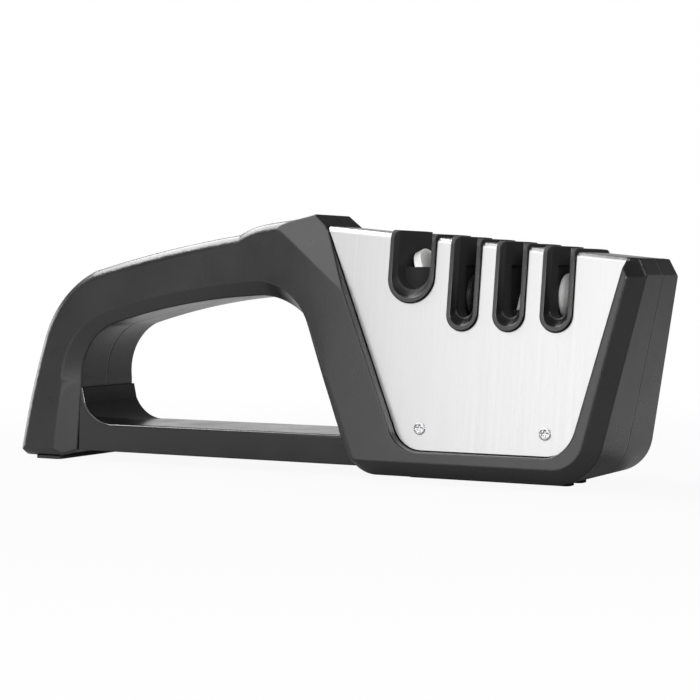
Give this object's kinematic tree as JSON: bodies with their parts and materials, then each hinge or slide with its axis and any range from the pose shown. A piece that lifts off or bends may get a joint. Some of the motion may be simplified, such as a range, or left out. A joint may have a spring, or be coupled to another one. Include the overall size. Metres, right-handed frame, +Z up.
{
  "type": "pull through knife sharpener",
  "caption": "Hand held pull through sharpener with an arched black handle, a steel clad head and guided slots for knives and scissors, with turning abrasive wheels inside.",
  "frame": {"origin": "on the table below the middle of the sharpener", "axes": "+X from the handle to the head, -Y the front, +Z up"},
  "size_m": [0.2105, 0.0486, 0.0763],
  "materials": {
    "black_plastic": "fine satin moulding",
    "rail_plastic": "satin moulding",
    "guide_plastic": "satin moulding",
    "brushed_steel": "brushed upwards",
    "screw_steel": "plain",
    "rubber": "matt",
    "coarse_abrasive": "coarse abrasive coating",
    "fine_ceramic": "smooth sintered ceramic",
    "carbide": "ground"
  },
  "bodies": {
    "body": {"front_shell": "black_plastic", "rear_shell": "black_plastic", "base_plate": "black_plastic", "base_rail": "rail_plastic", "scissors_guide": "guide_plastic", "coarse_guide": "guide_plastic", "carbide_guide": "guide_plastic", "ceramic_guide": "guide_plastic", "carrier": "guide_plastic", "blade_holder": "guide_plastic", "steel_cover": "brushed_steel", "cover_screws": "screw_steel", "shell_screws": "screw_steel", "foot_screws": "screw_steel", "base_screws": "screw_steel", "foot_pad": "rubber", "head_pads": "rubber", "scissors_stone": "fine_ceramic", "carbide_blade_front": "carbide", "carbide_blade_rear": "carbide"},
    "coarse_roller": {"coarse_axle": "screw_steel", "coarse_wheel_left": "coarse_abrasive", "coarse_wheel_right": "coarse_abrasive"},
    "fine_roller": {"fine_axle": "screw_steel", "fine_wheel_left": "fine_ceramic", "fine_wheel_right": "fine_ceramic"}
  },
  "joints": [
    {"name": "coarse_wheels_turn", "type": "hinge", "parent": "body", "child": "coarse_roller", "pos_m": [0.05205, 0, 0.0521], "axis": [1, 0, 0], "continuous": true},
    {"name": "fine_wheels_turn", "type": "hinge", "parent": "body", "child": "fine_roller", "pos_m": [0.08035, 0, 0.0521], "axis": [1, 0, 0], "continuous": true}
  ]
}
